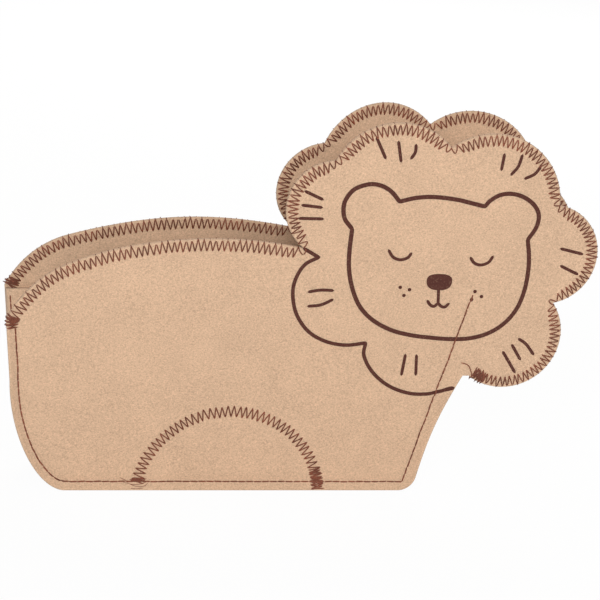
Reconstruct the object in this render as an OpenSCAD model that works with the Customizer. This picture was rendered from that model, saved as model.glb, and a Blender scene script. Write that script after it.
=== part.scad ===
// Felt hand puppet in the outline of a standing lion: two felt panels of one outline,
// held apart by a felt gusset along the rear, the bottom and the chest, open along the back.
// X runs from the rear to the head, Y from the front panel to the back panel, Z is up.
// The origin is on the surface that it stands on, at the middle of its length and depth.

/* [Body] */
// Length over all, from the rear edge to the outermost mane lobe
total_l = 239; // [230:1:248]
// Length of the body from the rear edge to the chest corner
body_l = 169; // [162:1:176]
// Height of the back line at its highest point
back_h = 107; // [105:0.5:112]
// Height of the rear corner, where the open edge begins
rear_h = 74; // [62:1:82]
// How far the bottom edge starts ahead of the rear edge
rear_round = 29; // [22:1:36]
// Distance between the two panels
depth = 34; // [26:1:44]

/* [Head] */
// Height of the middle of the head
head_z = 99; // [95:0.5:102]
// Mean distance from the middle of the head to the notches of the mane
mane_r = 52; // [48:1:56]
// How far ahead of the middle of the head the chest seam ends
chest_ahead = 16; // [9:1:22]
// How far below the middle of the head the chest seam ends
chest_below = 11; // [4:1:20]

/* [Felt] */
// Thickness of the felt
felt_t = 2; // [1:0.1:3]
// Distance from the seam to the cut edge
seam_in = 3.5; // [2.5:0.1:5]
// How far the gusset folds inwards at its two upper ends
fold_in = 16; // [8:1:20]
// Clearance between the gusset and a panel
clear = 0.2; // [0.1:0.05:0.4]

/* [Bow] */
// How far both panels stand out at the rear corner
rear_out = 3.5; // [0:0.5:5]
// How far the back panel is drawn in along the back
back_in = 3; // [0:0.5:4]
// How far the back panel is drawn in at the nape
nape_in = 7; // [0:0.5:8]
// How far the back panel is turned out at the muzzle
muzzle_out = 3.5; // [0:0.5:5]
// Share of the last three that the front panel has
front_share = 0.15; // [0:0.05:0.5]

/* [Stitches] */
// Thickness of the sewing thread as it lies on the felt
thread_d = 0.5; // [0.3:0.05:0.7]
// Distance of a thread from the felt that it lies on
thread_gap = 0.25; // [0.2:0.05:0.4]
// Width of a zigzag, along the open edges and along the arch
zigzag_w = 5.2; // [4:0.1:6]
// Distance from one tooth of a zigzag to the next
zigzag_pitch = 2.4; // [2:0.1:3.2]
// Length of the dense stitches that lock the ends of a zigzag
lock_l = 5; // [3:0.5:8]
// Distance from one running stitch to the next
stitch_pitch = 3.3; // [2.5:0.1:4.5]
// Length of one running stitch
stitch_l = 2.5; // [1.5:0.1:3.5]
// Radius of the stitched arch between the legs
arch_r = 38; // [30:1:42]
// Depth of the arch's centre below the bottom edge
arch_drop = 3.5; // [2:0.5:7]
// How far the arch stands ahead of the middle of the body
arch_ahead = 7.5; // [3:0.5:12]

/* [Hidden] */

felt_colour = "#d8b593";
gusset_colour = "#cfa985";
thread_colour = "#4f2a20";

// Each notch of the mane: its angle about the head, its distance and the swell of the lobe
// that follows it, both as shares of mane_r
mane_lobes = [[174.5, 1.07, 0.253], [137, 1.17, 0.243], [88.5, 0.935, 0.312],
              [28, 1.055, 0.334], [-17.5, 1.01, 0.387], [-70, 0.985, 0]];
// Straight steps that stand for one arc, for one straight run of the gusset and for the spine
arc_steps = 12;
run_steps = 6;
spine_steps = 8;
// Shares of the way from the outline to the spine at which a bowed panel has its rings
ring_shares = [0, 0.16, 0.6];
// The spine of a panel: where it begins, ahead of the rear edge and above the bottom
spine_start = [37.5, 50];
// Heights between which the panels become free to bow
rear_free = [10, 80];
back_free = [40, 105];
head_free = [60, 130];
// The drawn-in back and nape: where each is deepest, from the neck, and how far it reaches
back_dip = [-50, 40];
nape_dip = [-4, 32];
// How far ahead of the neck the muzzle begins to turn out, and where it has turned
muzzle_turn = [14, 69];
// How square the fold of the gusset is, where 2 is an ellipse, and the steps of half of it
fold_power = 2.6;
fold_steps = [1, 0.93, 0.8, 0.55, 0];
// Rounding of the chest corner, along each of its sides, and its swell
toe_l = 5;
toe_swell = 1.2;
// The hip, where the back line begins: how far ahead of the rear edge and below the back it
// is, and the swell of the edge up to it
hip_ahead = 23;
hip_below = 10.5;
hip_swell = 3;
// How far the rear edge leans back from its middle to its upper corner
rear_lean = 2;
// Step from the end of the mane to the notch at the top of the chest
notch_step = [-3, 0.5];
// Gap between the end of one row of stitches and the next
row_gap = 1;
// Half the length of a tooth's tip, at which the band is as wide as the thread
tip_l = 1.6 * thread_d;

// Point at an angle and a distance
function polar(angle, r) = r * [cos(angle), sin(angle)];

// Straight run from a towards b without b itself
function run(a, b, n = run_steps) = [for (i = [0 : n - 1]) a + (b - a) * i / n];

// Arc from a towards b without b itself, swelling by s to the left of the way
function arc(a, b, s, n = arc_steps) =
    let (chord = norm(b - a),
         along = (b - a) / chord,
         left = [-along.y, along.x],
         r = (chord * chord / 4 + s * s) / (2 * s),
         middle = (a + b) / 2 + left * (s - r),
         start = atan2(a.y - middle.y, a.x - middle.x),
         sweep = 4 * atan(2 * s / chord))
    [for (i = [0 : n - 1]) middle + polar(start - sweep * i / n, abs(r))];

// Quarter of an ellipse from a, where it is level, towards b, where it is upright
function quarter(a, b, n = arc_steps) =
    [for (i = [0 : n - 1]) [a.x + (b.x - a.x) * sin(90 * i / n), b.y + (a.y - b.y) * cos(90 * i / n)]];

// Direction of a line at each of its points, and the direction to the right of it
function way_of(line, i) =
    let (step = line[min(i + 1, len(line) - 1)] - line[max(i - 1, 0)]) step / norm(step);
function right_of(way) = [way.y, -way.x];

// The line moved to its right by d
function inset(line, d) = [for (i = [0 : len(line) - 1]) line[i] + right_of(way_of(line, i)) * d];

// Distance of each point along a line
function step_at(line, i) = i + 1 < len(line) ? norm(line[i + 1] - line[i]) : 0;
function distances(line) = [for (i = 0, d = 0; i < len(line); d = d + step_at(line, i), i = i + 1) d];
function length_of(line) = let (d = distances(line)) d[len(d) - 1];

// The line as two tables, from distance to x and from distance to z, and a point from them
function tables(line) =
    let (d = distances(line), last = len(line) - 1)
    [[for (i = [0 : last]) [d[i], line[i].x]], [for (i = [0 : last]) [d[i], line[i].y]]];
function point_at(t, d) = [lookup(d, t[0]), lookup(d, t[1])];
function way_at(t, d, reach) =
    let (step = point_at(t, d + reach) - point_at(t, d - reach)) step / norm(step);

// Mane notches about the middle of the head, and the lobes between them
mane_notches = [for (m = mane_lobes) polar(m[0], m[1] * mane_r)];
mane_shape = [for (i = [0 : len(mane_lobes) - 2])
              each arc(mane_notches[i], mane_notches[i + 1], mane_lobes[i][2] * mane_r)];
head = [total_l / 2 - max([for (p = mane_shape) p.x]), head_z];
mane = [for (p = mane_shape) p + head];
neck = mane[0];
mane_end = mane_notches[len(mane_notches) - 1] + head;
chest_notch = mane_end + notch_step;

// Corners of the outline, which runs from the rear over the back to the head, and then
// down the chest and along the bottom to the rear again, with the felt on its right
rear_x = -total_l / 2;
rear_top = [rear_x, rear_h];
rear_low = [rear_x + rear_lean, rear_h / 2];
heel = [rear_x + rear_round, 0];
hip = [rear_x + hip_ahead, back_h - hip_below];
corner = [rear_x + body_l, 0];
toe_way = (chest_notch - corner) / norm(chest_notch - corner);

open_edge = concat(arc(rear_top, hip, hip_swell), arc(hip, neck, back_h - (hip.y + neck.y) / 2),
                   mane, [mane_end]);
rear_edge = concat(quarter(heel, rear_low), run(rear_low, rear_top));
chest_edge = concat([chest_notch], arc(corner + toe_way * toe_l, corner - [toe_l, 0], toe_swell));
bottom_edge = run(corner - [toe_l, 0], heel, arc_steps);
outline = concat(open_edge, chest_edge, bottom_edge, rear_edge);

// Spine of a panel, from the rear to the middle of the head. Each point of the outline is joined
// to the nearest point of it along X, and the first lobe's points to one after another from the neck
spine_foot = [rear_x, 0] + spine_start;
spine = [for (i = [0 : spine_steps]) spine_foot + (head - spine_foot) * i / spine_steps];
function near_spine(p) =
    round(spine_steps * max(0, min(1, (p.x - spine_foot.x) / (head.x - spine_foot.x))));
mane_from = len(open_edge) - len(mane) - 1;
spine_of = [for (i = [0 : len(outline) - 1])
            i < mane_from || i >= len(open_edge) ? near_spine(outline[i])
            : min(spine_steps, near_spine(neck) + ceil(3 * (i - mane_from) / arc_steps))];

// Seam that joins a panel to the gusset: from inside the head down the chest, along the
// bottom and up the rear, with the gusset on its right
chest_top = head + [chest_ahead, -chest_below];
seam_corner = corner + [-seam_in, seam_in];
seam_way = (chest_top - seam_corner) / norm(chest_top - seam_corner);
seam_toe = seam_corner + seam_way * toe_l;
seam = concat(run(chest_top, seam_toe), arc(seam_toe, seam_corner - [toe_l, 0], toe_swell, run_steps),
              run(seam_corner - [toe_l, 0], [heel.x, seam_in]), inset(rear_edge, seam_in));

// Faces of the panels and of the gusset, measured from the middle of the depth
panel_y = depth / 2;
outside_y = panel_y + felt_t;
gusset_y = panel_y - clear;
// Lower faces of the threads on the outer face of a panel, and on its inner face
thread_out = outside_y + thread_gap;
thread_in = panel_y - thread_gap - thread_d;

// Soft step from 0 at a to 1 at b, and a dip about a middle that is 1 deep
function smooth(a, b, v) = let (t = max(0, min(1, (v - a) / (b - a)))) t * t * (3 - 2 * t);
function dip(at, v) = exp(-pow((v - neck.x - at[0]) / at[1], 2));

// How far a panel stands outwards of its flat place at a point of its plane
function bow(p, back) =
    rear_out * smooth(hip.x + hip_ahead, rear_x, p.x) * smooth(rear_free[0], rear_free[1], p.y)
    + (back ? 1 : front_share)
      * (muzzle_out * smooth(neck.x + muzzle_turn[0], neck.x + muzzle_turn[1], p.x)
         * smooth(head_free[0], head_free[1], p.y)
         - nape_in * dip(nape_dip, p.x) * smooth(head_free[0], head_free[1], p.y)
         - back_in * dip(back_dip, p.x) * smooth(back_free[0], back_free[1], p.y));

// The side of the puppet that faces -Y, or its mirror image
module on_side(back) { mirror([0, back ? 1 : 0, 0]) children(); }

// A point of the panel's plane on the side that faces -Y, at a distance from the middle of the depth
function placed(p, y, back) = [p.x, -y - bow(p, back), p.y];

// Solid through rings of points, each ring a strip's one side and then its other side
module sweep(rings) {
    sides = len(rings[0]);
    last = len(rings) - 1;
    walls = [for (i = [0 : last - 1], j = [0 : sides - 1])
             let (a = i * sides + j, b = i * sides + (j + 1) % sides)
             each [[a, b, b + sides], [a, b + sides, a + sides]]];
    cap = [for (j = [0 : sides / 2 - 2])
           each [[j, j + 1, sides - 2 - j], [j, sides - 2 - j, sides - 1 - j]]];
    ends = [for (c = cap) each [[c[2], c[1], c[0]], [for (k = c) last * sides + k]]];
    polyhedron([for (r = rings) each r], concat(walls, ends));
}

// Band of thread on a face of a panel, through pairs of points of the panel's plane
module band(pairs, face, back) {
    color(thread_colour) sweep([for (p = pairs)
        [placed(p[0], face, back), placed(p[1], face, back),
         placed(p[1], face + thread_d, back), placed(p[0], face + thread_d, back)]]);
}

// Zigzag between two distances to the right of a line, as one band of thread
function zigzag(line, from, to, near, far) =
    let (t = tables(line), step = zigzag_pitch / 2, teeth = floor((to - from) / step))
    [for (i = [0 : teeth])
     let (foot = point_at(t, from + i * step),
          right = right_of(way_at(t, from + i * step, zigzag_pitch)),
          reach = i % 2 == 0 ? far - tip_l : near + tip_l)
     [foot + right * (reach - tip_l), foot + right * (reach + tip_l)]];

// Straight band of a length and a width about a distance along a line, moved to its right
function bar(t, middle, l, w, to_right) =
    let (way = way_at(t, middle, l / 2), centre = point_at(t, middle) + right_of(way) * to_right)
    [for (end = [-l, l] / 2) [for (side = [-w, w] / 2) centre + way * end + right_of(way) * side]];

// Dense stitches that lock a zigzag from one distance along its line, to the right of it
function lock(line, from, near) =
    bar(tables(line), from + lock_l / 2, lock_l, zigzag_w, near + zigzag_w / 2);

// Felt cut to the outline and bowed: rings from the outline in to the spine, on both faces
module felt_panel(back) {
    n = len(outline);
    rings = len(ring_shares);
    flat = concat([for (s = ring_shares, i = [0 : n - 1]) outline[i] + (spine[spine_of[i]] - outline[i]) * s],
                  spine);
    face_n = len(flat);
    points = [for (y = [outside_y, panel_y], p = flat) placed(p, y, back)];
    sheet = [for (i = [0 : n - 1])
             let (j = (i + 1) % n, in = (rings - 1) * n, a = rings * n + spine_of[i], b = rings * n + spine_of[j])
             each concat([for (r = [0 : n : in - 1])
                          each [[r + i, r + j, r + n + j], [r + i, r + n + j, r + n + i]]],
                         [[in + i, in + j, a]], a == b ? [] : [[in + j, b, a]])];
    inside = [for (f = sheet) [for (k = [2 : -1 : 0]) face_n + f[k]]];
    rim = [for (i = [0 : n - 1]) let (j = (i + 1) % n)
           each [[j, i, face_n + i], [j, face_n + i, face_n + j]]];
    color(felt_colour) polyhedron(points, concat(sheet, inside, rim));
}

// Zigzag over the open edge, on both faces of the felt
module overcast(back) {
    edge_l = length_of(open_edge);
    lock_end = zigzag_pitch + lock_l;
    band(zigzag(open_edge, lock_end + row_gap, edge_l - lock_end - row_gap, 0, zigzag_w), thread_out, back);
    for (from = [zigzag_pitch, edge_l - lock_end]) band(lock(open_edge, from, 0), thread_out, back);
    band(zigzag(open_edge, lock_end, edge_l - zigzag_pitch, 0, zigzag_w), thread_in, back);
}

// Zigzag arch on the outer face, from above the bottom seam and back to it
module arch_stitch(back) {
    centre = [rear_x + body_l / 2 + arch_ahead, -arch_drop];
    foot = asin((seam_in + thread_d + row_gap + arch_drop) / arch_r);
    span = 180 - 2 * foot;
    steps = 2 * arc_steps;
    line = [for (i = [0 : steps]) centre + polar(180 - foot - span * i / steps, arch_r)];
    arch_l = length_of(line);
    near = -zigzag_w / 2;
    band(zigzag(line, lock_l + row_gap, arch_l - lock_l - row_gap, near, -near), thread_out, back);
    for (from = [0, arch_l - lock_l]) band(lock(line, from, near), thread_out, back);
}

// Running stitches along the seam, each on the outer face
module seam_stitch(back) {
    t = tables(seam);
    seam_l = length_of(seam) - zigzag_w - lock_l;
    for (d = [stitch_pitch : stitch_pitch : seam_l]) band(bar(t, d, stitch_l, thread_d, 0), thread_out, back);
}

// Middle line of the gusset's section across the seam: a web that folds inwards by f between
// two flanges that lie along the panels and reach out to the cut edge
function gusset_line(f) =
    let (y = gusset_y - felt_t / 2, last = len(fold_steps) - 1,
         half = [for (u = fold_steps) [felt_t / 2 + f * (1 - pow(u, fold_power)), -y * u]])
    concat([[-seam_in, -y]], half, [for (i = [last - 1 : -1 : 0]) [half[i].x, -half[i].y]], [[-seam_in, y]]);

// The gusset folds in more the higher it is, and lies flat along the bottom
function fold_at(z) = fold_in * max(0, min(1, (z - rear_round) / (rear_h - rear_round)));

// Felt strip between the panels, carried along the seam and following the bow of each panel
module gusset() {
    rings = [for (i = [0 : len(seam) - 1])
             let (inward = right_of(way_of(seam, i)),
                  line = gusset_line(fold_at(seam[i].y)),
                  left = inset(line, -felt_t / 2),
                  right = inset(line, felt_t / 2),
                  section = concat(left, [for (k = [len(right) - 1 : -1 : 0]) right[k]]))
             [for (q = section)
              let (p = seam[i] + inward * q.x)
              [p.x, q.y * (1 + bow(p, q.y > 0) / gusset_y), max(0, p.y)]]];
    color(gusset_colour) sweep(rings);
}

on_side(false) felt_panel(false);  // front_panel
on_side(true) felt_panel(true);  // back_panel
gusset();
on_side(false) overcast(false);  // front_overcast
on_side(true) overcast(true);  // back_overcast
on_side(false) arch_stitch(false);  // front_arch_stitch
on_side(true) arch_stitch(true);  // back_arch_stitch
on_side(false) seam_stitch(false);  // front_seam_stitch
on_side(true) seam_stitch(true);  // back_seam_stitch
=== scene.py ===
"""Felt hand puppet in the outline of a standing lion, dressed around the packed CAD frame.

The script is laid out as an add-on: settings, one operator for each group of pieces, one panel.
Shapes are worked out in millimetres and go into the meshes in metres. X runs from the rear to the
head, the front panel faces -Y, and Z is up, as in the CAD model.
"""

import math

import bmesh
import bpy
import numpy as np
from mathutils import Matrix, Vector


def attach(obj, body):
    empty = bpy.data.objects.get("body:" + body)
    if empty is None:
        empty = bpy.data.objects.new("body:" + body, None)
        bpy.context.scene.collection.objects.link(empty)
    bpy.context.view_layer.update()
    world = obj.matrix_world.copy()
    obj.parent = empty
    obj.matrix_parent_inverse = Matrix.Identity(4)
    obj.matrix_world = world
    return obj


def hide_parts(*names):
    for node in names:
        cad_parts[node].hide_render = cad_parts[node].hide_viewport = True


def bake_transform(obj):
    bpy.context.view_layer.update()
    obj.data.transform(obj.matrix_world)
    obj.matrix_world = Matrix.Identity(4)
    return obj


bl_info = {
    "name": "Felt Hand Puppet",
    "version": (1, 0, 0),
    "blender": (4, 5, 0),
    "location": "View3D > Sidebar > Puppet",
    "description": "Felt panels, gusset, stitching and print of a hand puppet",
    "category": "Add Mesh",
}

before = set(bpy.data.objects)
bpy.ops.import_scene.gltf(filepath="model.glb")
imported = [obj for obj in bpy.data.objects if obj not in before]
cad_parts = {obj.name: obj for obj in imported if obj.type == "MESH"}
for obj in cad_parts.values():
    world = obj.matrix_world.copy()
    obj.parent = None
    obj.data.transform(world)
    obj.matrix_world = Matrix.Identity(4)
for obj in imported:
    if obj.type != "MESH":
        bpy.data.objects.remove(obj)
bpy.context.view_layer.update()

MM = 0.001
FRONT, BACK = -1, 1
SIDE_NAMES = {FRONT: "front", BACK: "back"}

# Sizes of the solids, in millimetres, as the part's source gives them
TOTAL_L = 239.0
BODY_L = 169.0
BACK_H = 107.0
REAR_H = 74.0
REAR_ROUND = 29.0
REAR_LEAN = 2.0
DEPTH = 34.0
HEAD_Z = 99.0
MANE_R = 52.0
CHEST_AHEAD = 16.0
CHEST_BELOW = 11.0
SEAM_IN = 3.5
FOLD_IN = 16.0
CLEAR = 0.2
HIP = (23.0, 10.5)
HIP_SWELL = 3.0
TOE_L = 5.0
TOE_SWELL = 1.2
NOTCH_STEP = (-3.0, 0.5)
ARCH_R = 38.0
ARCH_DROP = 3.5
ARCH_AHEAD = 7.5
# Each notch of the mane: its angle about the head, its distance and the swell of the lobe that
# follows it, both as shares of MANE_R
MANE_LOBES = ((174.5, 1.07, 0.253), (137, 1.17, 0.243), (88.5, 0.935, 0.312),
              (28, 1.055, 0.334), (-17.5, 1.01, 0.387), (-70, 0.985, 0))
# Where the photograph departs a little from the solids: the lower rear corner tapers from higher up
# and is flatter than an ellipse, and the chest's cut edge is hollow
REAR_TAPER = 48.0
REAR_CORNER = 25.0
REAR_POWER = 1.8
CHEST_HOLLOW = 1.8
# Distance between the points of an outline, and about how much longer a quarter oval is than its chord
STEP = 0.9
OVAL_PER_CHORD = 1.1


def linear(code):
    """An sRGB hex colour as linear red, green, blue and alpha."""
    srgb = np.array([int(code[i:i + 2], 16) for i in (1, 3, 5)]) / 255
    light = np.where(srgb <= 0.04045, srgb / 12.92, ((srgb + 0.055) / 1.055) ** 2.4)
    return (*(float(c) for c in light), 1.0)


def run(a, b):
    """Points along the straight line from a towards b, without b itself."""
    a, b = np.asarray(a, float), np.asarray(b, float)
    n = max(1, round(np.linalg.norm(b - a) / STEP))
    return a + (b - a) * np.arange(n)[:, None] / n


def arc(a, b, swell):
    """Points along the arc from a towards b, without b itself, that swells to the left of the way.

    With chord c and swell s, the radius is (c * c / 4 + s * s) / (2 * s) and the arc turns
    through four times the angle whose tangent is 2 * s / c.
    """
    a, b = np.asarray(a, float), np.asarray(b, float)
    chord = np.linalg.norm(b - a)
    along = (b - a) / chord
    left = np.array((-along[1], along[0]))
    radius = (chord * chord / 4 + swell * swell) / (2 * swell)
    middle = (a + b) / 2 + left * (swell - radius)
    start = math.atan2(*(a - middle)[::-1])
    sweep = 4 * math.atan(2 * swell / chord)
    n = max(2, round(radius * sweep / STEP))
    angle = start - sweep * np.arange(n) / n
    return middle + radius * np.stack((np.cos(angle), np.sin(angle)), 1)


def quarter(a, b, power):
    """Points along a quarter of an oval from a, where it is level, towards b, without b itself.

    The oval's two sides obey u ** power + v ** power = 1, so 2 is an ellipse and less is flatter.
    """
    n = max(2, round(np.linalg.norm(np.subtract(b, a)) * OVAL_PER_CHORD / STEP))
    angle = math.pi / 2 * np.arange(n) / n
    u, v = np.sin(angle) ** (2 / power), np.cos(angle) ** (2 / power)
    return np.stack((a[0] + (b[0] - a[0]) * u, b[1] + (a[1] - b[1]) * v), 1)


def ways(line):
    """Direction of a line at each of its points, from the points before and after it."""
    step = np.gradient(line, axis=0)
    return step / np.linalg.norm(step, axis=1)[:, None]


def rights(line):
    """Direction to the right of a line at each of its points."""
    way = ways(line)
    return np.stack((way[:, 1], -way[:, 0]), 1)


def distances(line):
    """Distance of each point along a line."""
    return np.concatenate(((0.0,), np.cumsum(np.linalg.norm(np.diff(line, axis=0), axis=1))))


def points_at(line, along):
    """Points at the given distances along a line, each column read from the line's own table."""
    d = distances(line)
    return np.stack([np.interp(along, d, column) for column in line.T], 1)


def rights_at(line, along, reach):
    """Direction to the right of a line at the given distances, from points a reach before and after."""
    step = points_at(line, along + reach) - points_at(line, along - reach)
    step /= np.linalg.norm(step, axis=1)[:, None]
    return np.stack((step[:, 1], -step[:, 0]), 1)


def smooth_line(points, step=STEP):
    """A curve through the given points, as a Catmull-Rom spline sampled at about the step."""
    p = np.asarray(points, float)
    p = np.concatenate(((2 * p[0] - p[1],), p, (2 * p[-1] - p[-2],)))
    a, b, c, d = p[:-3], p[1:-2], p[2:-1], p[3:]
    n = max(3, math.ceil(np.linalg.norm(c - b, axis=1).max() / step))
    t = (np.arange(n) / n)[None, :, None]
    a, b, c, d = (q[:, None, :] for q in (a, b, c, d))
    curve = 0.5 * (2 * b + (c - a) * t + (2 * a - 5 * b + 4 * c - d) * t ** 2
                   + (3 * b - a - 3 * c + d) * t ** 3)
    return np.concatenate((curve.reshape(-1, p.shape[1]), p[-2:-1]))


def smoothstep(value, low, high):
    """Rises smoothly from 0 at low to 1 at high."""
    t = np.clip((np.asarray(value, float) - low) / (high - low), 0, 1)
    return t * t * (3 - 2 * t)


# Corners of the outline, which runs from the rear over the back to the head, then down the chest
# and along the bottom to the rear again, with the felt on its right
NOTCHES = np.array([(math.cos(math.radians(a)), math.sin(math.radians(a))) for a, _, _ in MANE_LOBES])
NOTCHES *= MANE_R * np.array([[share] for _, share, _ in MANE_LOBES])
LOBES = [arc(NOTCHES[i], NOTCHES[i + 1], MANE_LOBES[i][2] * MANE_R) for i in range(len(NOTCHES) - 1)]
HEAD = np.array((TOTAL_L / 2 - np.concatenate(LOBES)[:, 0].max(), HEAD_Z))
MANE = np.concatenate(LOBES + [NOTCHES[-1:]]) + HEAD
NECK, MANE_END = MANE[0], MANE[-1]
CHEST_NOTCH = MANE_END + NOTCH_STEP
REAR_X = -TOTAL_L / 2
REAR_TOP = np.array((REAR_X, REAR_H))
REAR_LOW = np.array((REAR_X + REAR_LEAN, REAR_TAPER))
HEEL = np.array((REAR_X + REAR_CORNER, 0.0))
HIP_TOP = np.array((REAR_X + HIP[0], BACK_H - HIP[1]))
CORNER = np.array((REAR_X + BODY_L, 0.0))
TOE_WAY = (CHEST_NOTCH - CORNER) / np.linalg.norm(CHEST_NOTCH - CORNER)
TOE_TOP, TOE_END = CORNER + TOE_WAY * TOE_L, CORNER - (TOE_L, 0)

BACK_LINE = np.concatenate((arc(REAR_TOP, HIP_TOP, HIP_SWELL),
                            arc(HIP_TOP, NECK, BACK_H - (HIP_TOP[1] + NECK[1]) / 2)))
OPEN_EDGE = np.concatenate((BACK_LINE, MANE))
CHEST_LINE = run(CHEST_NOTCH, TOE_TOP)
CHEST_LINE += rights(CHEST_LINE) * CHEST_HOLLOW * np.sin(np.pi * np.linspace(0, 1, len(CHEST_LINE)))[:, None]
CHEST_EDGE = np.concatenate((CHEST_LINE, arc(TOE_TOP, TOE_END, TOE_SWELL)))
BOTTOM_EDGE = run(TOE_END, HEEL)
REAR_EDGE = np.concatenate((quarter(HEEL, REAR_LOW, REAR_POWER), run(REAR_LOW, REAR_TOP)))
OUTLINE = np.concatenate((OPEN_EDGE, CHEST_EDGE, BOTTOM_EDGE, REAR_EDGE))

# Seam that joins a panel to the gusset: from inside the head down the chest, along the bottom and
# up the rear, with the gusset on its right
CHEST_TOP = HEAD + (CHEST_AHEAD, -CHEST_BELOW)
SEAM_CORNER = CORNER + (-SEAM_IN, SEAM_IN)
SEAM_TOE = SEAM_CORNER + (CHEST_TOP - SEAM_CORNER) * TOE_L / np.linalg.norm(CHEST_TOP - SEAM_CORNER)
SEAM = np.concatenate((run(CHEST_TOP, SEAM_TOE), arc(SEAM_TOE, SEAM_CORNER - (TOE_L, 0), TOE_SWELL),
                       run(SEAM_CORNER - (TOE_L, 0), (HEEL[0], SEAM_IN)),
                       REAR_EDGE + rights(REAR_EDGE) * SEAM_IN))


# The soft bow of the panels, as the solids have it: how far both stand out at the rear corner, how far
# the back panel is drawn in along the back and at the nape and turned out at the muzzle, and the
# share of these last three that the front panel has
REAR_OUT = 3.5
BACK_IN = 3.0
NAPE_IN = 7.0
MUZZLE_OUT = 3.5
FRONT_SHARE = 0.15
# Heights between which the panels become free to bow
REAR_FREE = (10, 80)
BACK_FREE = (40, 105)
HEAD_FREE = (60, 130)
# The drawn-in back and nape: where each is deepest, from the neck, and how far it reaches
BACK_DIP = (-50, 40)
NAPE_DIP = (-4, 32)
# How far ahead of the neck the muzzle begins to turn out, and where it has turned
MUZZLE_TURN = (14, 69)
# The seam pulls a groove into the felt, of this depth and half width, and the felt outside of it
# flares out by this much to the cut edge
GROOVE = 0.5
GROOVE_W = 1.5
FLARE = 1.5
# Distances from the cut edge between which the groove fades, so that it stays off the print
GROOVE_FADE = (9, 6)
SEWN_EDGE = np.concatenate((CHEST_EDGE, BOTTOM_EDGE, REAR_EDGE))
# Slow waves of the free felt: the height of each, the lengths along X and Z over which it turns by
# one radian, and the share of the side's number that shifts it
WAVES = ((0.22, 17, 29, 0), (0.18, -41, 13, 1))
# Points that are measured against a line at once
BATCH = 4096


def distance_to(line, x, z):
    """Distance of points of the panel's plane from the nearest point of a line."""
    points = np.stack((np.ravel(x), np.ravel(z)), 1)
    parts = [np.linalg.norm(points[i:i + BATCH, None] - line[None], axis=2).min(1)
             for i in range(0, len(points), BATCH)]
    return np.concatenate(parts).reshape(np.shape(x))


def bow(side, x, z):
    """How far a panel stands outwards of its flat place, in millimetres, at points of its plane.

    Each panel is held flat along the bottom and bends freely above it. Two slow waves, a few tenths
    of a millimetre high, keep the felt from lying dead flat. The seam lies in a groove, and the felt
    outside of it flares out.
    """
    x, z = np.asarray(x, float), np.asarray(z, float)
    free, head = smoothstep(z, *BACK_FREE), smoothstep(z, *HEAD_FREE)
    ahead = x - NECK[0]
    rear = REAR_OUT * smoothstep(x, HIP_TOP[0] + HIP[0], REAR_X) * smoothstep(z, *REAR_FREE)
    dips = [np.exp(-((ahead - at) / reach) ** 2) for at, reach in (BACK_DIP, NAPE_DIP)]
    bent = (MUZZLE_OUT * smoothstep(ahead, *MUZZLE_TURN) * head
            - BACK_IN * dips[0] * free - NAPE_IN * dips[1] * head)
    wave = sum(high * np.sin(x / long + z / tall + shift * side) for high, long, tall, shift in WAVES)
    edge = distance_to(SEWN_EDGE, x, z)
    groove = GROOVE * np.exp(-(distance_to(SEAM, x, z) / GROOVE_W) ** 2) * smoothstep(edge, *GROOVE_FADE)
    flare = FLARE * smoothstep(edge, SEAM_IN, 0)
    return rear + bent * (FRONT_SHARE if side == FRONT else 1) + wave * free - groove + flare


def on_panel(side, points, lift=0.0):
    """Points of the panel's plane as points in space, lifted off its outer face by the given height."""
    x, z = points[..., 0], points[..., 1]
    felt = bpy.context.scene.puppet_felt.thickness / MM
    y = side * (DEPTH / 2 + felt + bow(side, x, z) + lift)
    return np.stack(np.broadcast_arrays(x, y, z), -1)


def grid_patch(grid, around=False):
    """A grid of points, rows by columns, as points and four-sided faces, closed round if asked."""
    rows, cols = grid.shape[:2]
    i = np.arange(rows - 1)[:, None]
    j = np.arange(cols if around else cols - 1)[None, :]
    k = (j + 1) % cols
    corners = (i * cols + j, i * cols + k, (i + 1) * cols + k, (i + 1) * cols + j)
    faces = np.stack(np.broadcast_arrays(*corners), -1).reshape(-1, 4)
    return grid.reshape(-1, 3), faces


# Straight out of a panel, a direction that no thread runs along
ACROSS = np.array((0.0, 1.0, 0.0))
# Sides of a thread, and the share of its thickness at its blunt tips
THREAD_SIDES = 6
TIP_SHARE = 0.45


def tubes(paths, radius):
    """Round threads along many paths at once, as points and faces.

    paths is threads by points by 3. Each point carries a ring of the given radius square to its
    path, and both ends narrow to a blunt tip.
    """
    sides = THREAD_SIDES
    threads, count = paths.shape[:2]
    way = np.gradient(paths, axis=1)
    way /= np.linalg.norm(way, axis=2)[..., None]
    first = np.cross(way, np.broadcast_to(ACROSS, paths.shape))
    first /= np.linalg.norm(first, axis=2)[..., None]
    second = np.cross(way, first)
    angle = 2 * math.pi * np.arange(sides) / sides
    taper = np.ones(count)
    taper[[0, -1]] = TIP_SHARE
    ring = first[:, :, None] * np.cos(angle)[:, None] + second[:, :, None] * np.sin(angle)[:, None]
    grid = paths[:, :, None] + ring * (radius * taper)[None, :, None, None]
    faces = grid_patch(grid[0], around=True)[1]
    shift = (np.arange(threads) * count * sides)[:, None, None]
    cap = np.arange(sides)
    ends = np.stack((cap[::-1], (count - 1) * sides + cap))
    return grid.reshape(-1, 3), [*(faces + shift).reshape(-1, 4).tolist(),
                                 *(ends + shift).reshape(-1, sides).tolist()]


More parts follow.
